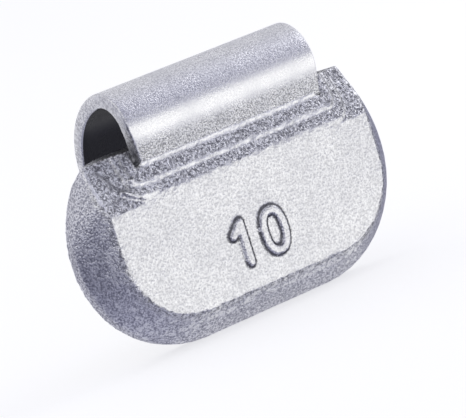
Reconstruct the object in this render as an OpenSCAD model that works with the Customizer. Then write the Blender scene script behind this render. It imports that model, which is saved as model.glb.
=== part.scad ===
// Clip-on wheel balance weight: a cast weight on a spring steel hook.
// X runs along the weight, Y points from the front face to the rim, Z is up.
// The origin is on the flat back, at mid-length, level with the top edge of the front face.

/* [Weight] */
// Overall length of the weight
body_len = 28; // [26:0.1:40]
// How far the weight reaches below the top edge of its front face
body_drop = 11.1; // [9.5:0.05:16]
// Depth from the front face to the flat back
body_depth = 3.55; // [3.2:0.05:5]
// How far the front face stands in from the widest outline
side_bevel = 2.25; // [1:0.05:3]
// Depth that the side bevel would take if it ran on straight
bevel_depth = 2.15; // [1:0.05:2.3]
// Depth of the straight rim around the back
rim_depth = 0.95; // [0.3:0.05:1.2]
// Radius of the rounded ends of the widest outline
end_r = 8.25; // [6:0.05:9]
// Radius of the lower corners of the front face
face_r = 5.55; // [3:0.05:6]

/* [Shoulders] */
// Height of the shoulder ridge above the top edge of the front face
ridge_h = 3.8; // [3:0.05:4.5]
// How far the shoulder ridge stands behind the front face
ridge_set = 1.85; // [1.2:0.05:2.2]
// How far in from the ends of the weight the ridge starts
ridge_inset = 2.3; // [1.5:0.05:3]
// How far in from the ends of the weight the back's top edge starts
back_inset = 4.7; // [4:0.1:6]
// Radius of the upper corners of the back
corner_r = 2.4; // [1:0.05:3]

/* [Pad around the clip] */
// Height of the front lip that the pad adds to the front face
lip_h = 0.4; // [0.2:0.05:0.8]
// How far the lower pad stands out past each end of the clip
lip_margin = 1.4; // [1.1:0.05:2]
// Corner radius of the lower pad
lip_r = 1.8; // [0.5:0.05:3]
// Height at which the upper pad starts
step_z = 1.15; // [0.85:0.05:1.6]
// Height of the upper pad's front wall
step_h = 0.3; // [0.1:0.05:0.5]
// How far the upper pad stands out past each end of the clip
step_margin = 0.85; // [0.3:0.05:1]
// Corner radius of the upper pad
step_r = 1.5; // [0.5:0.05:2]

/* [Clip] */
// Thickness of the spring steel
sheet_t = 1.1; // [0.8:0.05:1.4]
// Length of the clip along the weight
clip_len = 17; // [12:0.1:17.5]
// How far the clip and its pad stand off the middle of the weight
clip_shift = 0.55; // [-0.6:0.05:0.6]
// Height of the clip's top above the top edge of the front face
hook_top = 8.15; // [7.5:0.05:9]
// How far the clip's foremost point stands behind the front face
hook_set = 0.3; // [0.2:0.05:1]
// Outer radius of the tight front bend
front_bend_r = 3; // [2:0.05:3.5]
// Outer radius of the wide bend over the rim flange
top_bend_r = 6.3; // [5.5:0.05:7]
// Forward lean of the front leg, in degrees
leg_lean = 15; // [8:0.5:18]
// Height at which the leg turns down into the cast-in foot
knee_z = 1.2; // [0.8:0.1:1.5]
// Angle at which the tight bend runs into the wide one, in degrees
join_angle = 79; // [60:1:90]
// Angle at which the wide bend ends, in degrees
tip_angle = 10; // [5:1:25]
// Depth of the clip's foot below the top edge of the front face
foot_drop = 4.25; // [3.4:0.05:6]
// Diameter of the anchor holes that the cast metal fills
anchor_d = 3; // [2:0.1:3.2]
// Distance between the two anchor holes
anchor_pitch = 8.6; // [5:0.1:8.6]

/* [Hidden] */
$fn = 96;
body_colour = [0.80, 0.80, 0.82];
clip_colour = [0.68, 0.70, 0.74];
arc_steps = 12;
bevel_steps = 6;
// Thickness of one slice of the hull
slice = 0.05;
// How far a pad's blank runs past its outline, and how deep the upper pad starts in the lower one
over = 1;
buried = 0.05;
// Diameter of the clip's round tip as a share of its thickness
tip_share = 0.9;
// Y of the front face, and the slope of the shoulders as depth for each unit of height
front_y = -body_depth;
lean_back = ridge_set / ridge_h;
// Height at which the round ends hand over to the upper corners of the back
corner_z = ridge_h - corner_r / 2;
// Centre of the clip's tight bend in Y and Z, with the wide bend tangent to it
bend_gap = top_bend_r - front_bend_r;
front_bend_y = front_y + hook_set + front_bend_r;
front_bend_z = hook_top - front_bend_r;
// Inner radius of the bend between the front leg and the foot, and the straight lengths of both
knee_r = 1;
leg_len = (front_bend_z - front_bend_r * sin(leg_lean) - knee_z) / cos(leg_lean);
foot_len = foot_drop + knee_z - knee_r * sin(leg_lean);
// The anchor holes lie half way between the face's top edge and the foot's lower edge
anchor_z = -foot_drop / 2;

// Points of an arc, with both ends
function arc(x, z, r, from, to) = [for (i = [0:arc_steps])
    let (a = from + (to - from) * i / arc_steps) [x + r * cos(a), z + r * sin(a)]];

function mirrored(points) = [for (i = [len(points) - 1:-1:0]) [-points[i][0], points[i][1]]];

// Depth behind the front face, and distance in from the widest outline, along the side's curve
function side_depth(t) = 2 * t * (1 - t) * bevel_depth + t * t * (body_depth - rim_depth);
function side_inset(t) = side_bevel * (1 - t) * (1 - t);

// Height of the shoulders' slope at a depth
function slope_top(depth) = min(ridge_h, depth / lean_back);

// Right half of the weight's outline at an inset, closed at a top height
function half_outline(inset, top) =
    let (share = inset / side_bevel)
    let (r = end_r + (face_r - end_r) * share)
    let (x = body_len / 2 - inset - r)
    let (low_z = r + inset - body_drop)
    let (high_z = (end_r - body_drop) * (1 - share))
    let (top_a = asin(max(0, min(1, (top - high_z) / r))))
    concat(arc(x, low_z, r, -90, 0), arc(x, high_z, r, 0, top_a));

// A plate of an outline in X and Z, from one Y to another
module plate_y(from, to) {
    translate([0, to, 0]) rotate([90, 0, 0]) linear_extrude(height = to - from) children();
}

// A bar of a profile in Y and Z, centred on the clip along X
module bar_x(length) {
    translate([clip_shift, 0, 0]) rotate([90, 0, 90]) linear_extrude(height = length, center = true)
        children();
}

// A plate of the weight's outline, from a depth behind the front face
module outline_plate(inset, depth, thickness, top) {
    half = half_outline(inset, top);
    plate_y(front_y + depth, front_y + depth + thickness) polygon(concat(half, mirrored(half)));
}

module ridge_bar() {
    length = body_len - 2 * ridge_inset;
    translate([-length / 2, front_y + ridge_set, ridge_h - slice]) cube([length, slice, slice]);
}

// The rounded upper corners of the back
module back_corners() {
    for (side = [-1, 1]) plate_y(-slice, 0)
        translate([side * (body_len / 2 - back_inset), ridge_h - corner_r]) circle(r = corner_r);
}

// The weight's outer form: front face, shoulders, bevelled sides and straight rim
module weight_form() {
    hull() {
        for (i = [0:bevel_steps - 1]) {
            t = i / bevel_steps;
            outline_plate(side_inset(t), side_depth(t), slice, min(corner_z, slope_top(side_depth(t))));
        }
        outline_plate(0, body_depth - rim_depth, rim_depth, corner_z);
        ridge_bar();
        back_corners();
    }
}

// Outline of a pad in X and Z: round at its lower corners, open to the ridge
module pad_outline(length, low, r) {
    translate([clip_shift, 0]) {
        for (side = [-1, 1]) translate([side * (length / 2 - r), low + r]) circle(r = r);
        translate([-length / 2 + r, low]) square([length - 2 * r, ridge_h - low]);
        translate([-length / 2, low + r]) square([length, ridge_h - low - r]);
    }
}

// A pad in front of the shoulders' slope and parallel to it, with a low wall in front
module pad(margin, low, wall, depth, r) {
    length = clip_len + 2 * margin;
    rise = ridge_h - low - wall;
    intersection() {
        plate_y(front_y, 0) pad_outline(length, low, r);
        bar_x(length + over) polygon([
            [front_y + depth, low],
            [front_y + depth, low + wall],
            [front_y + depth + rise * lean_back, ridge_h],
            [-rim_depth, ridge_h],
            [-rim_depth, low]
        ]);
    }
}

// A length of ring between two angles
module ring_sector(r, from, to) {
    intersection() {
        difference() {
            circle(r = r);
            circle(r = r - sheet_t);
        }
        polygon(concat([[0, 0]], [for (i = [0:4])
            let (a = from + (to - from) * i / 4) 2 * r * [cos(a), sin(a)]]));
    }
}

// Side profile of the bent strip in Y and Z, from the foot to the round tip
// Both bends' centres lie on the line where the bends meet, so their round faces run into each other
module clip_profile() {
    leg_turn = 180 + leg_lean - join_angle;
    tip_turn = tip_angle - join_angle;
    translate([front_bend_y, front_bend_z]) rotate(join_angle) {
        ring_sector(front_bend_r, 0, leg_turn);
        rotate(leg_turn) {
            translate([front_bend_r - sheet_t, 0]) square([sheet_t, leg_len]);
            translate([front_bend_r + knee_r, leg_len]) {
                ring_sector(knee_r + sheet_t, 180 - leg_lean, 180);
                rotate(-leg_lean) translate([-knee_r - sheet_t, 0]) square([sheet_t, foot_len]);
            }
        }
        translate([-bend_gap, 0]) {
            ring_sector(top_bend_r, tip_turn, 0);
            rotate(tip_turn) translate([top_bend_r - sheet_t / 2, 0]) circle(d = tip_share * sheet_t);
        }
    }
}

module clip_form() {
    difference() {
        bar_x(clip_len) clip_profile();
        for (side = [-1, 1]) translate([clip_shift + side * anchor_pitch / 2, 0, anchor_z])
            rotate([90, 0, 0]) cylinder(d = anchor_d, h = 2 * body_depth, center = true);
    }
}

module cast_body() {
    color(body_colour) difference() {
        union() {
            weight_form();
            pad(lip_margin, 0, lip_h, 0, lip_r);
            pad(step_margin, step_z - buried, step_h + buried, (step_z - lip_h) * lean_back, step_r);
        }
        clip_form();
    }
}

module spring_clip() {
    color(clip_colour) clip_form();
}

cast_body();
spring_clip();
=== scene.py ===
import math

import bmesh
import bpy
import numpy as np
from mathutils import Matrix, Vector, noise


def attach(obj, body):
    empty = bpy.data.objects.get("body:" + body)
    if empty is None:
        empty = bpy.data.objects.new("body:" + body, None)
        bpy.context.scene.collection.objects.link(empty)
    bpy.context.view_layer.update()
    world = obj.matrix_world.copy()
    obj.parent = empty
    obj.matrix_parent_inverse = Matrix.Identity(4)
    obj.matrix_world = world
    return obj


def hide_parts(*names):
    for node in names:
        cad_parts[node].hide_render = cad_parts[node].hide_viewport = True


# Clip-on wheel balance weight: a cast weight with raised numbers and a bent steel clip.
# Lengths are written in millimetres, in the part's own frame, and scaled to metres where a mesh is finished.

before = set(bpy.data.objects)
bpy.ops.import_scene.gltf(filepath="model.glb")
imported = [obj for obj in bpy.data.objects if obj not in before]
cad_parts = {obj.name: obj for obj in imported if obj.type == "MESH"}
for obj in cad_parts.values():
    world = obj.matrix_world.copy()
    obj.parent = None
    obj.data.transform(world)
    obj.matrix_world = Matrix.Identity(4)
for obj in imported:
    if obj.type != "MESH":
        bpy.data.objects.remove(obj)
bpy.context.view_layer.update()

MM = 0.001
ROOT = "root"

# Camera: it looks at a point of the front face's top edge, and is rolled as in the photograph
AIM = Vector((0, -3.55, 0))
AZIMUTH, ELEVATION, ROLL = -32.367, 8.446, 17.737
DISTANCE, SIDEWAYS, UPWARDS = 240.0, -0.609, -3.237
LENS, SENSOR = 258.03, 36.0
# Nearest and furthest distance that the camera sees, in metres
VIEW_NEAR, VIEW_FAR = 0.01, 5.0

# The clip's profile in Y and Z, as in the part's source
FRONT_Y = -3.55
SHEET_T = 1.1
CLIP_LEN = 17.0
CLIP_SHIFT = 0.55
FRONT_BEND, FRONT_BEND_R = (-0.25, 5.15), 3.0
TOP_BEND_R = 6.3
LEG_LEAN, JOIN_ANGLE, TIP_ANGLE = 15.0, 79.0, 10.0
KNEE_Z, KNEE_R = 1.2, 1.0
FOOT_DROP = 4.25
ANCHOR_D, ANCHOR_PITCH = 3.0, 8.6
# The cutters for the anchor holes: their middle in Y, and their length
CUTTER_Y, CUTTER_LEN = -1.7, 4.0
TIP_SHARE = 0.9
# Steps along the strip's stretches and around its tip, and over how many of them it thins out to the tip
FOOT_STEPS, KNEE_STEPS, LEG_STEPS, FRONT_STEPS, TOP_STEPS, TIP_STEPS = 14, 5, 10, 46, 40, 10
THINNING_STEPS = 6
# How far the left end of the front leg is drawn in, by height; cast metal fills the rest of its slot
LEG_TAPER = [(2.6, 0.48), (3.6, 0.3), (5.2, 0.0)]
FILL_TOP = 2.75
# Painted shade on the ends of the front leg, by height: darker towards the bottom
LEG_END_SHADE = [(3.6, 0.50), (5.6, 0.45), (6.8, 0.0)]
# Rounding of the strip's ends, and the steps around it and along the strip
EDGE_R = 0.16
EDGE_STEPS, LENGTH_STEPS = 4, 34
# What counts as the strip's end, as a share of the rounding, and as its inner face, of half the sheet
END_SHARE, INNER_SHARE = 0.3, -0.8

# The casting: size of a cell of its mesh, rounding of its edges, and its slight unevenness
CELL = 0.118
ROUNDING, ROUNDING_STEPS = 0.5, 2
WAVE, WAVE_LENGTH = 0.012, 1.7
RAGGED, RAGGED_LENGTH, RAGGED_LOW = 0.075, 0.38, 0.25
# Points this close are one: on an added part, and on the CAD form
WELD, CAD_WELD = 1e-5, 1e-4
# Least share of a normal along Y at which a surface is part of the flat back
BACK_FACING = 0.9

# Lines along which shade and highlights are painted on the casting, and along whose rims its edges are
# ragged: least angle of an edge, and how far each kind reaches
EDGE_ANGLE = 25
# A corner line counts only where it runs less than this share along the weight
ALONG_SHARE = 0.8
RIM_REACH, OUTER_REACH, CREASE_REACH, OUTLINE_REACH, SHINE_REACH = 0.5, 0.9, 0.32, 0.30, 0.24
CREASE_SHARE, CREASE_FROM, HIGHLIGHT_SHARE, BEAD_REACH = 0.55, 1.0, 0.75, 0.32
# The rims' painted dark strip of shade fades out behind this depth
RIM_BACK, RIM_FADE = -1.9, 0.6
# Painted shade: a dark seam beside the pad's left end, as points in X and Z on the shoulder's slope
SEAM = [(-10.9, 3.1), (-10.45, 2.45), (-10.2, 1.7), (-9.5, 1.3), (-8.5, 1.0)]
SLOPE = 1.85 / 3.8

# Raised numbers on the front face
NUMBER_H, NUMBER_Z = 3.7, -5.35
STROKE_W, STROKE_UP, STROKE_DOWN, STROKE_SOFT = 0.70, 0.25, 0.3, 0.13
STROKE_END_STEPS = 20
ONE_X, ZERO_X, ZERO_W = -1.75, 0.95, 1.95
# Reach of the one's flag, and the zero's steps and squareness
FLAG = (0.85, 0.8)
ZERO_STEPS, ZERO_POWER = 48, 2 / 2.4
# The painted shade around the numbers' outline starts this far below a stroke's top, is full after the fade,
# and ends in the face
OUTLINE_TOP, OUTLINE_FADE, OUTLINE_DEPTH = 0.05, 0.1, 0.1

# Bead of cast metal in the crease between the pad and the clip
BEAD = [(-2.73, 2.36), (-2.735, 2.79), (-2.45, 2.79), (-2.45, 2.28)]
BEAD_SHORT = 0.45
BEAD_MIDDLE = 2.58
# Middle of the upper pad's front wall, along which a highlight is painted, in Y and Z, and its ends in X
WALL_MIDDLE, WALL_ENDS = (-3.19, 1.32), (-7.3, 8.3)
# Painted highlight along the outer edge of the left shoulder's slope, and the heights between which it runs
SHOULDER_X, SHOULDER_HIGHLIGHT = -11.78, (0.5, 3.5)

# Ledges where each pad's wall turns up at its left end: the arc's centre, radius and two angles,
# and the front and the width at both ends
LEDGES = [
    ((-7.45, 2.95), 1.95, 292, 210, (-3.21, -3.12), (0.50, 0.14)),
    ((-7.60, 3.60), 3.35, 276, 224, (-3.57, -3.46), (0.42, 0.14)),
]
LEDGE_DEPTH, LEDGE_STEPS = 0.9, 16

FLOOR_Z = -11.1


def in_picture_axes():
    """Camera directions: rightwards, upwards and backwards, with the roll."""
    az, el, roll = (math.radians(a) for a in (AZIMUTH, ELEVATION, ROLL))
    right = Vector((math.cos(az), math.sin(az), 0))
    up = Vector((-math.sin(az) * math.sin(el), math.cos(az) * math.sin(el), math.cos(el)))
    back = Vector((math.sin(az) * math.cos(el), -math.cos(az) * math.cos(el), math.sin(el)))
    rolled_right = right * math.cos(roll) - up * math.sin(roll)
    rolled_up = right * math.sin(roll) + up * math.cos(roll)
    return rolled_right, rolled_up, back


def make_camera():
    right, up, back = in_picture_axes()
    data = bpy.data.cameras.new("camera")
    data.lens, data.sensor_width, data.sensor_fit = LENS, SENSOR, "HORIZONTAL"
    data.clip_start, data.clip_end = VIEW_NEAR, VIEW_FAR
    camera = bpy.data.objects.new("camera", data)
    place = (AIM + back * DISTANCE + right * SIDEWAYS + up * UPWARDS) * MM
    turn = Matrix((right, up, back)).transposed().to_4x4()
    camera.matrix_world = Matrix.Translation(place) @ turn
    bpy.context.scene.collection.objects.link(camera)
    bpy.context.scene.camera = camera


def new_object(name, mesh):
    obj = bpy.data.objects.new(name, mesh)
    bpy.context.scene.collection.objects.link(obj)
    return obj


def mesh_from(name, points, faces):
    mesh = bpy.data.meshes.new(name)
    mesh.from_pydata([tuple(p) for p in points], [], faces)
    mesh.update()
    return mesh


def fix_normals(mesh):
    work = bmesh.new()
    work.from_mesh(mesh)
    bmesh.ops.remove_doubles(work, verts=work.verts, dist=WELD)
    bmesh.ops.recalc_face_normals(work, faces=work.faces)
    work.to_mesh(mesh)
    work.free()


def apply_modifiers(obj):
    """Replaces the object's mesh by the result of its modifiers."""
    bpy.context.view_layer.update()
    graph = bpy.context.evaluated_depsgraph_get()
    mesh = bpy.data.meshes.new_from_object(obj.evaluated_get(graph))
    obj.modifiers.clear()
    old = obj.data
    obj.data = mesh
    bpy.data.meshes.remove(old)


def arc(centre, radius, start, end, steps):
    """Centre line points and outward directions along an arc, with both ends."""
    rows = []
    for i in range(steps + 1):
        a = math.radians(start + (end - start) * i / steps)
        out = np.array((math.cos(a), math.sin(a)))
        rows.append((np.array(centre) + radius * out, out))
    return rows


def clip_line():
    """The clip's centre line from foot to tip: points in Y and Z, with directions to the outer face."""
    half = SHEET_T / 2
    front = arc(FRONT_BEND, FRONT_BEND_R - half, 180 + LEG_LEAN, JOIN_ANGLE, FRONT_STEPS)
    gap = TOP_BEND_R - FRONT_BEND_R
    join = math.radians(JOIN_ANGLE)
    top_centre = np.array(FRONT_BEND) - gap * np.array((math.cos(join), math.sin(join)))
    top = arc(top_centre, TOP_BEND_R - half, JOIN_ANGLE, TIP_ANGLE, TOP_STEPS)
    lean = math.radians(LEG_LEAN)
    down = np.array((math.sin(lean), -math.cos(lean)))
    out = front[0][1]
    leg_len = (FRONT_BEND[1] - FRONT_BEND_R * math.sin(lean) - KNEE_Z) / math.cos(lean)
    leg = [(front[0][0] + down * leg_len * i / LEG_STEPS, out) for i in range(LEG_STEPS + 1)]
    knee_centre = leg[-1][0] + out * (KNEE_R + half)
    knee = [(p, -o) for p, o in arc(knee_centre, KNEE_R + half, LEG_LEAN, 0, KNEE_STEPS)]
    foot_top = knee[-1][0]
    foot_len = foot_top[1] + FOOT_DROP
    foot = [(foot_top - np.array((0, foot_len * i / FOOT_STEPS)), knee[-1][1]) for i in range(FOOT_STEPS + 1)]
    return foot[::-1] + knee[::-1][1:] + leg[::-1][1:] + front[1:] + top[1:]


def clip_outline(line, inset):
    """The clip's closed side profile, drawn in by an inset: outer face, round tip, inner face."""
    half = SHEET_T / 2
    outer, inner = [], []
    for i, (p, out) in enumerate(line):
        to_tip = (len(line) - 1 - i) / THINNING_STEPS
        h = half * (TIP_SHARE + (1 - TIP_SHARE) * min(1.0, to_tip)) - inset
        outer.append(p + out * h)
        inner.append(p - out * h)
    outer[0] = outer[0] + np.array((0, inset))
    inner[0] = inner[0] + np.array((0, inset))
    tip, out = line[-1]
    along = np.array((out[1], -out[0]))
    h = half * TIP_SHARE - inset
    tip_points = []
    for i in range(1, TIP_STEPS):
        a = math.pi * i / TIP_STEPS
        tip_points.append(tip + out * h * math.cos(a) + along * h * math.sin(a))
    return outer, tip_points, inner[::-1]


def leg_share(x, y, z):
    """Half length of the strip at a point, as a share: the front leg's left end is drawn in."""
    if y > 0 or x > 0:
        return 1.0
    return 1 - np.interp(z, *zip(*LEG_TAPER)) / (CLIP_LEN / 2)


def side_faces(count, start=0):
    """Quads between two neighbouring loops of points, of which the first starts at an index."""
    return [(start + i, start + (i + 1) % count, start + (i + 1) % count + count, start + i + count)
            for i in range(count)]


def ladder_faces(count, rows, start=0):
    """Quads that fill a loop of points whose two long sides run side by side."""
    return [(start + i, start + i + 1, start + count - 2 - i, start + count - 1 - i) for i in range(rows)]


def make_clip():
    """The bent strip as one mesh of quads, with rounded edges along both ends."""
    line = clip_line()
    half_len = CLIP_LEN / 2
    left = [(-half_len + EDGE_R * (1 - math.cos(a)), EDGE_R * (1 - math.sin(a)))
            for a in (math.pi / 2 * i / EDGE_STEPS for i in range(EDGE_STEPS + 1))]
    middle = [(-half_len + EDGE_R + (CLIP_LEN - 2 * EDGE_R) * i / LENGTH_STEPS, 0.0)
              for i in range(1, LENGTH_STEPS)]
    right = [(-x, inset) for x, inset in left[::-1]]
    sections = left + middle + right
    points, faces = [], []
    for x, inset in sections:
        outer, tip, inner = clip_outline(line, inset)
        loop = outer + tip + inner
        count = len(loop)
        points += [(x * leg_share(x, *p) + CLIP_SHIFT, p[0], p[1]) for p in loop]
    for i in range(len(sections) - 1):
        faces += side_faces(count, i * count)
    rows = len(line) - 1
    for start in (0, (len(sections) - 1) * count):
        faces += ladder_faces(count, rows, start)
        faces.append([start + k for k in range(rows, count - rows)])
    mesh = mesh_from("bent_clip", points, faces)
    fix_normals(mesh)
    return new_object("bent_clip", mesh)


def cylinder_mesh(centre, radius, length, segments=64):
    """A cylinder along Y."""
    work = bmesh.new()
    along_y = Matrix.Translation(centre) @ Matrix.Rotation(math.pi / 2, 4, "X")
    bmesh.ops.create_cone(work, cap_ends=True, segments=segments, radius1=radius, radius2=radius,
                          depth=length, matrix=along_y)
    mesh = bpy.data.meshes.new("cylinder")
    work.to_mesh(mesh)
    work.free()
    return mesh


def cut_anchor_holes(clip):
    """The two holes in the foot, which the cast metal fills."""
    cutters = []
    for side in (-1, 1):
        centre = Vector((CLIP_SHIFT + side * ANCHOR_PITCH / 2, CUTTER_Y, -FOOT_DROP / 2))
        cutter = new_object("cutter", cylinder_mesh(centre, ANCHOR_D / 2, CUTTER_LEN))
        cut = clip.modifiers.new("cut", "BOOLEAN")
        cut.operation, cut.solver, cut.object = "DIFFERENCE", "EXACT", cutter
        cutters.append(cutter)
    apply_modifiers(clip)
    for cutter in cutters:
        bpy.data.objects.remove(cutter)


def tube(path, closed):
    """A raised stroke along a path in X and Z: flat on top, with rounded shoulders, sunk into the face."""
    half = STROKE_W / 2
    section = [(half, -STROKE_DOWN), (half, STROKE_UP - STROKE_SOFT), (half - STROKE_SOFT, STROKE_UP)]
    section = [(-off, height) for off, height in section] + section[::-1]
    count = len(path)
    points, faces = [], []
    for i, p in enumerate(path):
        before = path[(i - 1) % count] if closed or i else path[0]
        after = path[(i + 1) % count] if closed or i < count - 1 else path[-1]
        along = np.array(after) - np.array(before)
        along = along / np.linalg.norm(along)
        across = np.array((along[1], -along[0]))
        for off, height in section:
            q = np.array(p) + across * off
            points.append((q[0], FRONT_Y - height, q[1]))
    k = len(section)
    for i in range(count - 1):
        faces += side_faces(k, i * k)
    last = (count - 1) * k
    if closed:
        faces += [(last + j, last + (j + 1) % k, (j + 1) % k, j) for j in range(k)]
    else:
        faces += [list(range(k)), list(range(last, last + k))]
    return points, faces


def stroke_end(x, z):
    """The round end of a stroke."""
    points = []
    steps, half = STROKE_END_STEPS, STROKE_W / 2
    rings = [(half, -STROKE_DOWN), (half, STROKE_UP - STROKE_SOFT), (half - STROKE_SOFT, STROKE_UP)]
    for radius, height in rings:
        for i in range(steps):
            a = 2 * math.pi * i / steps
            points.append((x + radius * math.cos(a), FRONT_Y - height, z + radius * math.sin(a)))
    faces = side_faces(steps) + side_faces(steps, steps)
    faces += [list(range(steps)), list(range(2 * steps, 3 * steps))]
    return points, faces


def number_paths():
    """Centre lines of the number 10 in X and Z: the one's stem and flag, and the zero's closed ring."""
    half = (NUMBER_H - STROKE_W) / 2
    top, low = NUMBER_Z + half, NUMBER_Z - half
    stem = [(ONE_X, low), (ONE_X, top)]
    flag = [(ONE_X, top), (ONE_X - FLAG[0], top - FLAG[1])]
    ring = []
    for i in range(ZERO_STEPS + 1):
        a = 2 * math.pi * i / ZERO_STEPS
        c, s = math.cos(a), math.sin(a)
        x = math.copysign(abs(c) ** ZERO_POWER, c) * (ZERO_W - STROKE_W / 4) / 2
        z = math.copysign(abs(s) ** ZERO_POWER, s) * half
        ring.append((ZERO_X + x, NUMBER_Z + z))
    return stem, flag, ring


def number_parts():
    """The strokes of the number 10."""
    stem, flag, ring = number_paths()
    ends = [stroke_end(*p) for p in (stem[0], stem[1], flag[1])]
    return [tube(stem, False), tube(flag, False), tube(ring[:-1], True)] + ends


def bead_ends():
    """Both ends of the bead in X."""
    return [CLIP_SHIFT + side * (CLIP_LEN / 2 - BEAD_SHORT) for side in (-1, 1)]


def bead_part():
    """The bead of cast metal along the crease."""
    points = [(x, y, z) for x in bead_ends() for y, z in BEAD]
    k = len(BEAD)
    return points, side_faces(k) + [list(range(k)), list(range(k, 2 * k))]


def fill_part():
    """Cast metal in the slot's left end, beside the drawn-in leg."""
    line = [row for row in clip_line() if row[0][0] < 0 and row[0][1] < FILL_TOP]
    half = SHEET_T / 2
    loop = [p + out * half for p, out in line] + [p - out * half for p, out in line[::-1]]
    end = CLIP_SHIFT - CLIP_LEN / 2
    points = [(x, p[0], p[1]) for x in (end - CELL, end + LEG_TAPER[0][1]) for p in loop]
    k, rows = len(loop), len(line) - 1
    return points, side_faces(k) + ladder_faces(k, rows) + ladder_faces(k, rows, k)


def ledge_rows(centre, radius, start, end, fronts, widths):
    """Points along the middle of a ledge's front, with the outward direction and half the width at each."""
    rows = []
    for i in range(LEDGE_STEPS + 1):
        share = (i / LEDGE_STEPS) ** 2
        a = math.radians(start + (end - start) * i / LEDGE_STEPS)
        across = np.array((math.cos(a), 0, math.sin(a)))
        half = (widths[0] + (widths[1] - widths[0]) * share) / 2
        front = fronts[0] + (fronts[1] - fronts[0]) * share
        rows.append((np.array((centre[0], front, centre[1])) + (radius - half) * across, across, half))
    return rows


def ledge_part(ledge):
    """A crescent that faces forwards and follows a pad's corner, thinning out upwards."""
    rows = ledge_rows(*ledge)
    loop = [middle + across * half for middle, across, half in rows]
    loop += [middle - across * half for middle, across, half in rows[::-1]]
    points = [(x, y + back, z) for back in (0, LEDGE_DEPTH) for x, y, z in loop]
    k = len(loop)
    return points, side_faces(k) + ladder_faces(k, LEDGE_STEPS) + ladder_faces(k, LEDGE_STEPS, k)


def make_casting():
    """The casting: the CAD form with the raised number and the added metal, remeshed with soft edges."""
    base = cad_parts["cast_body"].data.copy()
    base.transform(Matrix.Scale(1 / MM, 4))
    work = bmesh.new()
    work.from_mesh(base)
    bmesh.ops.remove_doubles(work, verts=work.verts, dist=CAD_WELD)
    rims, creases = edge_lines(work)
    added = number_parts() + [bead_part(), fill_part()] + [ledge_part(ledge) for ledge in LEDGES]
    for points, faces in added:
        part = mesh_from("part", points, faces)
        fix_normals(part)
        work.from_mesh(part)
        bpy.data.meshes.remove(part)
    mesh = bpy.data.meshes.new("zinc_casting")
    work.to_mesh(mesh)
    work.free()
    bpy.data.meshes.remove(base)
    casting = new_object("zinc_casting", mesh)
    remesh = casting.modifiers.new("remesh", "REMESH")
    remesh.mode, remesh.voxel_size, remesh.use_smooth_shade = "VOXEL", CELL, True
    smooth = casting.modifiers.new("smooth", "SMOOTH")
    smooth.factor, smooth.iterations = ROUNDING, ROUNDING_STEPS
    apply_modifiers(casting)
    age_casting(casting.data, rims, creases)
    return casting


def edge_lines(work):
    """The CAD form's sharp edges as lines: those that stick out, and those in corners, with the seam of
    painted shade.
    """
    rims, creases = [], []
    for edge in work.edges:
        if len(edge.link_faces) != 2:
            continue
        angle = math.degrees(edge.calc_face_angle_signed())
        line = [np.array(v.co) for v in edge.verts]
        along = (line[1] - line[0]) / np.linalg.norm(line[1] - line[0])
        if angle > EDGE_ANGLE:
            rims.append(line)
        elif angle < -EDGE_ANGLE and abs(along[0]) < ALONG_SHARE and min(p[2] for p in line) > CREASE_FROM:
            creases.append(line)
    seam = [np.array((x, FRONT_Y + SLOPE * z, z)) for x, z in SEAM]
    return rims, creases + [list(pair) for pair in zip(seam, seam[1:])]


def distance_to(points, lines):
    """Each point's distance to the nearest of the lines."""
    best = np.full(len(points), np.inf)
    for start, end in lines:
        along = end - start
        share = np.clip((points - start) @ along / (along @ along), 0, 1)
        best = np.minimum(best, ((points - start - share[:, None] * along) ** 2).sum(1))
    return np.sqrt(best)


def nearness(distances, reach):
    """1 at no distance, falling to 0 at the reach."""
    return np.clip(1 - distances / reach, 0, 1)


def number_outlines(points):
    """Nearness to the foot of the numbers' strokes: the flanks and the face just beside them."""
    flat = points * (1, 0, 1)
    lines = [[np.array((x, 0, z)) for x, z in pair]
             for path in number_paths() for pair in zip(path, path[1:])]
    beside = nearness(np.abs(distance_to(flat, lines) - STROKE_W / 2), OUTLINE_REACH)
    below_top = points[:, 1] - (FRONT_Y - STROKE_UP) - OUTLINE_TOP
    return beside * np.clip(below_top / OUTLINE_FADE, 0, 1) * (points[:, 1] < FRONT_Y + OUTLINE_DEPTH)


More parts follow.
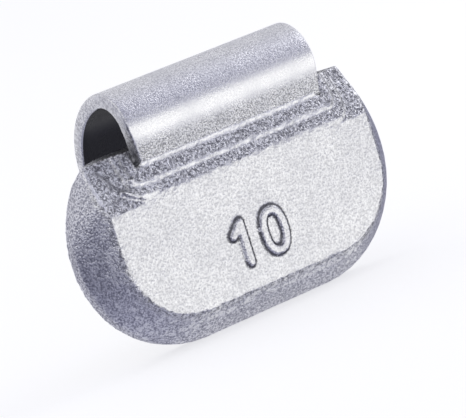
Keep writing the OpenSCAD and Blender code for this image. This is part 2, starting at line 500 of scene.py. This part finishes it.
def age_casting(mesh, rims, creases):
    """Gives the casting a slightly uneven skin and ragged edges; the flat back stays flat.
    Keeps how near each point is to a rim, to a crease and to a line of painted highlight, for the material's
    painted shade and highlights."""
    count = len(mesh.vertices)
    points, normals = np.empty(3 * count), np.empty(3 * count)
    mesh.vertices.foreach_get("co", points)
    mesh.vertices.foreach_get("normal", normals)
    points, normals = points.reshape(-1, 3), normals.reshape(-1, 3)
    outline = [line for line in rims if all(p[1] < FRONT_Y + CELL and p[2] < CELL for p in line)]
    # Nearness to the rims, where a dark strip of shade is painted and the edges are made ragged
    rim = np.maximum(nearness(distance_to(points, rims), RIM_REACH),
                     nearness(distance_to(points, outline), OUTER_REACH))
    rim *= np.clip((RIM_BACK - points[:, 1]) / RIM_FADE, 0, 1)
    # Nearness to creases, the seam and the numbers' outlines, where shade is painted
    crease = CREASE_SHARE * nearness(distance_to(points, creases), CREASE_REACH)
    crease = np.maximum(crease, number_outlines(points))
    # Lines of painted highlight: the bead's front, the upper pad's wall, the left shoulder's edge and the
    # ledges
    bead = [[np.array((x, BEAD[0][0], BEAD_MIDDLE)) for x in bead_ends()]]
    bright = [[np.array((x, *WALL_MIDDLE)) for x in WALL_ENDS]]
    bright.append([np.array((SHOULDER_X, FRONT_Y + SLOPE * z, z)) for z in SHOULDER_HIGHLIGHT])
    for ledge in LEDGES:
        line = [row[0] for row in ledge_rows(*ledge)]
        bright += list(zip(line, line[1:]))
    painted_highlight = np.maximum(nearness(distance_to(points, bead), BEAD_REACH),
                       HIGHLIGHT_SHARE * nearness(distance_to(points, bright), SHINE_REACH))
    waves = np.array([noise.noise(Vector(p) / WAVE_LENGTH) for p in points])
    ragged = np.array([noise.noise(Vector(p) / RAGGED_LENGTH) for p in points])
    lift = WAVE * waves + RAGGED * rim ** 2 * (ragged - RAGGED_LOW)
    lift[normals[:, 1] > BACK_FACING] = 0.0
    points += normals * lift[:, None]
    mesh.vertices.foreach_set("co", points.ravel())
    for name, values in (("rim", rim), ("crease", crease), ("painted_highlight", painted_highlight)):
        mesh.attributes.new(name, "FLOAT", "POINT").data.foreach_set("value", values)
    mesh.update()


def finish_piece(obj, node, material):
    obj.data.transform(Matrix.Scale(MM, 4))
    obj.data.update()
    for polygon in obj.data.polygons:
        polygon.use_smooth = True
    obj.data.materials.clear()
    obj.data.materials.append(material)
    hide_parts(node)
    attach(obj, ROOT)


# Materials

# Scale of each noise per metre, with its detail and roughness
ZINC_GRAIN, ZINC_COARSE, ZINC_FINE = (6400.0, 1.5, 0.6), (5000.0, 2.5, 0.65), (14000.0, 1.0, 0.5)
ZINC_CLOUD, ZINC_GAPS = (420.0, 3.0, 0.55), (1300.0, 2.0, 0.6)
STEEL_GRAIN, STEEL_COARSE, STEEL_CLOUD = (8200.0, 2.0, 0.6), (5600.0, 2.0, 0.6), (500.0, 3.0, 0.5)
# Specks: range of the noise, and the grey and extra blue of dark and bright ones; the side, slope and strip
# specks are darker as painted shade
FACE_SPECKS = (0.38, 0.62), (0.64, 0.012), (1.0, 0.0)
SIDE_SPECKS = (0.40, 0.60), (0.34, 0.055), (0.97, 0.03)
SLOPE_SPECKS = (0.43, 0.58), (0.14, 0.01), (1.0, 0.0)
STRIP_SPECKS = (0.43, 0.56), (0.13, 0.01), (1.0, 0.0)
SHEARED_SPECKS = (0.40, 0.57), (0.60, 0.02), (1.0, 0.0)
# Veils over a colour: range of what drives them, their most, and their grey and extra blue; the haze is
# random tone, the zinc's crease veil and the steel's leg end veil are painted shade, and the steel's edge
# veil is a painted highlight
ZINC_HAZE, ZINC_CREASE_SHADE = ((0.35, 0.70), 0.12, (0.60, 0.02)), ((0.25, 0.75), 0.88, (0.10, 0.005))
STEEL_HAZE, STEEL_END_SHADE = ((0.35, 0.70), 0.20, (0.60, 0.04)), ((0.20, 0.90), 0.75, (0.10, 0.01))
STEEL_EDGE = ((0.53, 0.62), 0.6, (0.92, 0.0))
# Shares of a normal along an axis between which a surface becomes a slope, an end, the front, a sheared end
SLOPING, ENDWAYS, FORWARD, SHEARED = (0.18, 0.36), (0.30, 0.55), (0.90, 0.98), (0.75, 0.95)
# How ragged the slopes' border, the painted dark strip beside the edges and the painted shade in the creases
# are
SLOPE_RAGGED, STRIP_RAGGED, CREASE_SHADE_RAGGED = 0.12, 1.6, 2.2
# Heights in metres between which the clip's leg ends, and the tight bend starts and ends
LEG_TOP, BEND_LOW, BEND_TOP = (0.0035, 0.0048), (0.0037, 0.0045), (0.0054, 0.0062)
# The clip's grey and extra blue between its specks, on leg, top and bend, then its specks' and its inside's.
# The bend's light ground is a painted highlight, the leg's dark ground painted shade, the inside's near black
# painted shade
LEG_GREY, TOP_GREY, BEND_GREY = (0.34, 0.01), (0.58, 0.02), (0.88, 0.01)
LEG_SPECK, TOP_SPECK, INSIDE_SHADE_GREY = (0.94, 0.0), (1.0, 0.0), (0.042, 0.004)
# Depth of the bump in metres, and least and most roughness
ZINC_BUMP, STEEL_BUMP = 0.00005, 0.00004
ZINC_ROUGHNESS, STEEL_ROUGHNESS = (0.28, 0.36), (0.24, 0.32)


class Nodes:
    """Short calls for a material's or world's nodes."""

    def __init__(self, tree):
        self.tree = tree
        self.tree.nodes.clear()

    def add(self, kind, **settings):
        node = self.tree.nodes.new(kind)
        for key, value in settings.items():
            setattr(node, key, value)
        return node

    def feed(self, socket, value):
        """Links a socket to another one, or sets it to a number or colour."""
        if isinstance(value, bpy.types.NodeSocket):
            self.tree.links.new(value, socket)
        elif value is not None:
            socket.default_value = value

    def put(self, node, **sockets):
        for key, value in sockets.items():
            self.feed(node.inputs[key.replace("_", " ")], value)
        return node

    def math(self, operation, a, b=None, c=None, clamp=False):
        node = self.add("ShaderNodeMath", operation=operation, use_clamp=clamp)
        for i, value in enumerate((a, b, c)):
            self.feed(node.inputs[i], value)
        return node.outputs[0]

    def ramp(self, value, bounds, low, high, smooth=True):
        """Goes from one number to another while a value crosses its bounds."""
        node = self.add("ShaderNodeMapRange", interpolation_type="SMOOTHSTEP" if smooth else "LINEAR")
        self.put(node, Value=value, From_Min=bounds[0], From_Max=bounds[1], To_Min=low, To_Max=high)
        return node.outputs[0]

    def noise(self, coordinates, scale, detail, roughness):
        node = self.add("ShaderNodeTexNoise")
        self.put(node, Vector=coordinates, Scale=scale, Detail=detail, Roughness=roughness)
        return node.outputs["Fac"]

    def mix(self, factor, a, b):
        node = self.add("ShaderNodeMix", data_type="RGBA")
        for i, value in ((0, factor), (6, a), (7, b)):
            self.feed(node.inputs[i], value)
        return node.outputs[2]

    def attribute(self, name):
        return self.add("ShaderNodeAttribute", attribute_name=name).outputs["Fac"]

    def axes(self, vector):
        """A vector's three numbers."""
        return self.put(self.add("ShaderNodeSeparateXYZ"), Vector=vector).outputs

    def specks(self, value, bounds, dark, bright):
        return self.mix(self.ramp(value, bounds, 0.0, 1.0, False), grey(*dark), grey(*bright))

    def veil(self, colour, value, bounds, most, shade):
        """Covers a colour with a grey, the more the higher the value is."""
        return self.mix(self.ramp(value, bounds, 0.0, most), colour, grey(*shade))

    def blend(self, a, b, share):
        """A share of one value with the rest of another."""
        return self.math("ADD", self.math("MULTIPLY", a, share), self.math("MULTIPLY", b, 1 - share))

    def stir(self, value, noise, amount):
        """Makes a value ragged by a noise."""
        return self.math("MULTIPLY_ADD", self.math("SUBTRACT", noise, 0.5), amount, value)

    def bump(self, height, strength, distance):
        node = self.add("ShaderNodeBump")
        return self.put(node, Height=height, Strength=strength, Distance=distance).outputs[0]

    def finish(self, shader, kind="ShaderNodeOutputMaterial"):
        self.put(self.add(kind), Surface=shader.outputs[0])


def grey(value, blue=0.0):
    return (value, value, value + blue, 1.0)


def new_material(name):
    material = bpy.data.materials.new(name)
    material.use_nodes = True
    return material, Nodes(material.node_tree)


def slope_and_side(n, normal, coarse):
    """Shares of the surface that slope upwards along the weight, and that don't face forwards: where shade is
    painted.
    """
    facing = n.axes(normal)
    ragged = n.ramp(coarse, (0.35, 0.65), -SLOPE_RAGGED, SLOPE_RAGGED, False)
    slope = n.ramp(n.math("ADD", facing["Z"], ragged), SLOPING, 0.0, 1.0)
    slope = n.math("MULTIPLY", slope, n.ramp(n.math("ABSOLUTE", facing["X"]), ENDWAYS, 1.0, 0.0))
    return slope, n.ramp(n.math("MULTIPLY", facing["Y"], -1.0), FORWARD, 1.0, 0.0)


def wear_and_highlight_share(n, place, grain, pointiness):
    """Where the casting is painted bright: on its sharp edges, as wear and painted highlight, and along the
    marked lines, as painted highlights, with gaps.
    """
    edges = n.ramp(pointiness, (0.52, 0.57), 0.0, 0.9)
    edges = n.math("MULTIPLY", edges, n.ramp(grain, (0.36, 0.48), 0.1, 1.0))
    gaps = n.ramp(n.noise(place, *ZINC_GAPS), (0.42, 0.56), -0.45, 0.0)
    lines = n.ramp(n.math("ADD", n.attribute("painted_highlight"), gaps), (0.05, 0.5), 0.0, 1.0)
    lines = n.math("MULTIPLY", lines, n.ramp(grain, (0.34, 0.46), 0.3, 1.0))
    return n.math("MAXIMUM", edges, lines)


def zinc_material():
    """Blasted, silvery die-cast zinc: fine-grained face; coarser slopes and sides, darkened as painted shade;
    painted shade beside rims and in creases; edges rubbed bright, partly wear and partly painted highlight.
    """
    material, n = new_material("cast_zinc")
    place = n.add("ShaderNodeTexCoord").outputs["Object"]
    skin = n.add("ShaderNodeNewGeometry").outputs
    grain, coarse = n.noise(place, *ZINC_GRAIN), n.noise(place, *ZINC_COARSE)
    fine, cloud = n.noise(place, *ZINC_FINE), n.noise(place, *ZINC_CLOUD)
    tone, rough_tone = n.blend(grain, fine, 0.7), n.blend(coarse, fine, 0.6)
    slope, side = slope_and_side(n, skin["Normal"], coarse)
    # Painted shade: surfaces that don't face forwards get darker, bluer specks, and slopes facing up darker
    # ones still
    colour = n.mix(side, n.specks(tone, *FACE_SPECKS), n.specks(tone, *SIDE_SPECKS))
    colour = n.mix(slope, colour, n.specks(rough_tone, *SLOPE_SPECKS))
    colour = n.veil(colour, cloud, *ZINC_HAZE)
    # Painted shade: a dark, rough strip beside the edges on slopes and sides, and darkening in the corners
    # and around the number
    strip = n.ramp(n.stir(n.attribute("rim"), coarse, STRIP_RAGGED), (0.05, 0.65), 0.0, 0.72)
    strip = n.math("MULTIPLY", strip, n.math("MAXIMUM", side, slope))
    colour = n.mix(strip, colour, n.specks(rough_tone, *STRIP_SPECKS))
    colour = n.veil(colour, n.stir(n.attribute("crease"), rough_tone, CREASE_SHADE_RAGGED), *ZINC_CREASE_SHADE)
    # Painted bright: sharp edges, partly wear and partly painted highlight, and the lines of painted
    # highlight
    colour = n.mix(wear_and_highlight_share(n, place, grain, skin["Pointiness"]), colour, grey(1.0))
    relief = n.math("ADD", n.math("MULTIPLY", grain, n.ramp(side, (0.0, 1.0), 1.0, 1.3, False)),
                    n.math("MULTIPLY", coarse, n.math("MULTIPLY", side, 0.35)))
    shader = n.add("ShaderNodeBsdfPrincipled")
    n.put(shader, Base_Color=colour, Metallic=0.95, Specular_Tint=colour,
          Normal=n.bump(relief, 1.0, ZINC_BUMP), Roughness=n.ramp(cloud, (0.3, 0.7), *ZINC_ROUGHNESS))
    n.finish(shader)
    return material


def steel_material():
    """Zinc flake coated spring steel: satin, with fine speckle and rough sheared ends; painted highlight on
    the bend and the edges, painted shade on the leg, its ends and the inner face.
    """
    material, n = new_material("spring_steel")
    place = n.add("ShaderNodeTexCoord").outputs["Object"]
    skin = n.add("ShaderNodeNewGeometry").outputs
    grain, coarse = n.noise(place, *STEEL_GRAIN), n.noise(place, *STEEL_COARSE)
    cloud = n.noise(place, *STEEL_CLOUD)
    # The tight bend is smoother than the leg and the top; its light ground is a painted highlight, and the
    # leg's dark ground with strong specks is painted shade
    height = n.axes(place)["Z"]
    bend = n.math("MULTIPLY", n.ramp(height, BEND_LOW, 0.0, 1.0), n.ramp(height, BEND_TOP, 1.0, 0.0))
    leg = n.ramp(height, LEG_TOP, 1.0, 0.0)
    ground = n.mix(bend, n.mix(leg, grey(*TOP_GREY), grey(*LEG_GREY)), grey(*BEND_GREY))
    speckle = n.mix(leg, grey(*TOP_SPECK), grey(*LEG_SPECK))
    colour = n.mix(n.ramp(grain, (0.38, 0.60), 0.0, 1.0, False), ground, speckle)
    sheared = n.ramp(n.math("ABSOLUTE", n.axes(skin["Normal"])["X"]), SHEARED, 0.0, 1.0)
    colour = n.mix(sheared, colour, n.specks(coarse, *SHEARED_SPECKS))
    colour = n.veil(colour, cloud, *STEEL_HAZE)
    # Painted shade on the front leg's ends, darker towards the bottom
    end_shade = n.math("MULTIPLY", n.attribute("end_shade"), n.ramp(coarse, (0.40, 0.58), 0.2, 1.8, False))
    colour = n.veil(colour, end_shade, *STEEL_END_SHADE)
    # Painted shade: the hook's inner face is near black
    colour = n.mix(n.attribute("hook_inner_shade"), colour, grey(*INSIDE_SHADE_GREY))
    # Painted highlight on the clip's sharp edges
    colour = n.veil(colour, skin["Pointiness"], *STEEL_EDGE)
    normal = n.bump(grain, n.ramp(bend, (0.0, 1.0), 1.0, 0.4, False), STEEL_BUMP)
    shader = n.add("ShaderNodeBsdfPrincipled")
    n.put(shader, Base_Color=colour, Metallic=0.9, Normal=normal,
          Roughness=n.ramp(cloud, (0.3, 0.7), *STEEL_ROUGHNESS))
    n.finish(shader)
    return material


def mark_clip(mesh):
    """Marks where shade is painted, on the hook's inner face and on the front leg's ends, in attributes of
    the mesh's points.
    """
    hook_inner_shade = mesh.attributes.new("hook_inner_shade", "FLOAT", "POINT")
    end_shade = mesh.attributes.new("end_shade", "FLOAT", "POINT")
    line = clip_line()
    centres = np.array([p for p, _ in line])
    outs = np.array([o for _, o in line])
    for v in mesh.vertices:
        q = np.array((v.co.y, v.co.z))
        k = int(np.argmin(((centres - q) ** 2).sum(1)))
        depth = float((q - centres[k]) @ outs[k]) / (SHEET_T / 2)
        x = v.co.x - CLIP_SHIFT
        off_end = CLIP_LEN / 2 * leg_share(x, *q) - abs(x)
        at_end = off_end < END_SHARE * EDGE_R
        hook_inner_shade.data[v.index].value = float(depth < INNER_SHARE and not at_end)
        end_shade.data[v.index].value = float(np.interp(q[1], *zip(*LEG_END_SHADE))) if at_end and q[0] < 0 else 0.0


# Studio

# The room's light as elevation and brightness, for four sides of the room
ROOM_FRONT = [(-70, 0.32), (-40, 0.36), (-28, 1.20), (-14, 1.10), (-2, 1.12), (9, 0.58), (22, 0.46),
              (42, 0.42), (75, 0.57)]
ROOM_LEFT = [(-70, 0.42), (-30, 0.26), (-4, 0.12), (14, 0.56), (30, 0.84), (50, 0.86), (75, 0.70)]
ROOM_BEHIND = [(-70, 0.55), (-35, 0.68), (-10, 0.78), (10, 0.76), (50, 0.72), (75, 0.62)]
ROOM_RIGHT = [(-70, 0.66), (-40, 0.94), (-22, 0.44), (10, 0.42), (28, 0.80), (75, 0.66)]
# Azimuth of each side, and the angles at which it is full and gone
FRONT_SIDE = (32, 28, 68)
LEFT_SIDE = (-82, 36, 70)
RIGHT_SIDE = (118, 18, 34)
# Colours of the dim and of the bright room, and the brightness between which one becomes the other
ROOM_BLUE, ROOM_WHITE, BLUE_RANGE = (0.90, 0.92, 1.28, 1.0), (1.0, 1.0, 1.01, 1.0), (0.15, 0.95)
# The white sweep behind the object, which reflections show too: direction, full and outer angle
SWEEP = (152, -6, 5, 20)
# The floor: its size, the light that the camera sees it give, and its own grey
FLOOR_SIZE, FLOOR_GLOW, FLOOR_GREY = 1600.0, 0.61, 0.55
# The lamp's azimuth, elevation, distance, diameter and power
KEY_LAMP = (78, 32, 320, 200, 0.12)


def towards(azimuth, elevation):
    """A direction of the room: azimuth from the front face's side towards +X."""
    az, el = math.radians(azimuth), math.radians(elevation)
    return Vector((math.sin(az) * math.cos(el), -math.cos(az) * math.cos(el), math.sin(el)))


def lobe(n, direction, azimuth, elevation, inner, outer):
    """1 around a direction of the room, falling to 0 between two angles."""
    dot = n.add("ShaderNodeVectorMath", operation="DOT_PRODUCT")
    n.feed(dot.inputs[0], direction)
    n.feed(dot.inputs[1], towards(azimuth, elevation))
    bounds = math.cos(math.radians(outer)), math.cos(math.radians(inner))
    return n.ramp(dot.outputs["Value"], bounds, 0.0, 1.0)


def curve(n, height, stops):
    """Brightness by elevation, read from the height of a direction between -1 and 1."""
    node = n.add("ShaderNodeValToRGB")
    n.feed(node.inputs[0], n.math("MULTIPLY_ADD", height, 0.5, 0.5))
    ramp = node.color_ramp
    for i, (elevation, level) in enumerate(stops):
        position = 0.5 + 0.5 * math.sin(math.radians(elevation))
        stop = ramp.elements[i] if i < 2 else ramp.elements.new(position)
        stop.position = position
        stop.color = grey(level)
    ramp.interpolation = "EASE"
    return node.outputs[0]


def room_light(n, direction):
    """Brightness and colour of the room in a direction."""
    parts = n.axes(direction)
    flat = n.put(n.add("ShaderNodeCombineXYZ"), X=parts["X"], Y=parts["Y"])
    unit = n.add("ShaderNodeVectorMath", operation="NORMALIZE")
    n.feed(unit.inputs[0], flat.outputs[0])
    level = curve(n, parts["Z"], ROOM_BEHIND)
    sides = ((RIGHT_SIDE, ROOM_RIGHT), (LEFT_SIDE, ROOM_LEFT), (FRONT_SIDE, ROOM_FRONT))
    for (azimuth, inner, outer), stops in sides:
        share = lobe(n, unit.outputs[0], azimuth, 0, inner, outer)
        step = n.math("SUBTRACT", curve(n, parts["Z"], stops), level)
        level = n.math("ADD", level, n.math("MULTIPLY", share, step))
    return level, n.mix(n.ramp(level, BLUE_RANGE, 0.0, 1.0), ROOM_BLUE, ROOM_WHITE)


def make_world():
    world = bpy.data.worlds.new("studio")
    world.use_nodes = True
    bpy.context.scene.world = world
    n = Nodes(world.node_tree)
    direction = n.add("ShaderNodeTexCoord").outputs["Generated"]
    level, colour = room_light(n, direction)
    room = n.add("ShaderNodeBackground")
    n.put(room, Color=colour, Strength=level)
    white = n.add("ShaderNodeBackground")
    n.put(white, Color=grey(1.0), Strength=1.0)
    path = n.add("ShaderNodeLightPath").outputs
    mirrored = n.math("ADD", path["Is Glossy Ray"], path["Is Transmission Ray"], clamp=True)
    swept = n.math("MULTIPLY", mirrored, lobe(n, direction, *SWEEP))
    seen = n.math("ADD", path["Is Camera Ray"], swept, clamp=True)
    both = n.add("ShaderNodeMixShader")
    for i, value in enumerate((seen, room.outputs[0], white.outputs[0])):
        n.feed(both.inputs[i], value)
    n.finish(both, "ShaderNodeOutputWorld")


def make_floor():
    """A pale floor, white to the camera but for the soft shadow. Reflections show the room's lower half."""
    half = FLOOR_SIZE / 2
    corners = [(-half, -half, FLOOR_Z), (half, -half, FLOOR_Z), (half, half, FLOOR_Z), (-half, half, FLOOR_Z)]
    mesh = mesh_from("floor", corners, [(0, 1, 2, 3)])
    mesh.transform(Matrix.Scale(MM, 4))
    floor = new_object("floor", mesh)
    material, n = new_material("floor")
    seen = n.add("ShaderNodeLightPath").outputs["Is Camera Ray"]
    emit = n.put(n.add("ShaderNodeEmission"), Color=grey(1.0), Strength=n.math("MULTIPLY", seen, FLOOR_GLOW))
    matte = n.put(n.add("ShaderNodeBsdfDiffuse"), Color=grey(FLOOR_GREY))
    both = n.add("ShaderNodeAddShader")
    n.feed(both.inputs[0], emit.outputs[0])
    n.feed(both.inputs[1], matte.outputs[0])
    n.finish(both)
    mesh.materials.append(material)
    floor.visible_glossy = False


def make_lamp(name, azimuth, elevation, distance, size, power):
    data = bpy.data.lights.new(name, "AREA")
    data.shape, data.size, data.energy = "DISK", size * MM, power
    lamp = bpy.data.objects.new(name, data)
    direction = towards(azimuth, elevation)
    lamp.location = (AIM + direction * distance) * MM
    lamp.rotation_euler = direction.to_track_quat("Z", "Y").to_euler()
    lamp.visible_camera = False
    bpy.context.scene.collection.objects.link(lamp)


make_camera()
zinc = zinc_material()
steel = steel_material()
casting = make_casting()
clip = make_clip()
cut_anchor_holes(clip)
mark_clip(clip.data)
finish_piece(casting, "cast_body", zinc)
finish_piece(clip, "spring_clip", steel)
make_world()
make_floor()
make_lamp("key", *KEY_LAMP)

bpy.context.scene.view_settings.view_transform = "Standard"
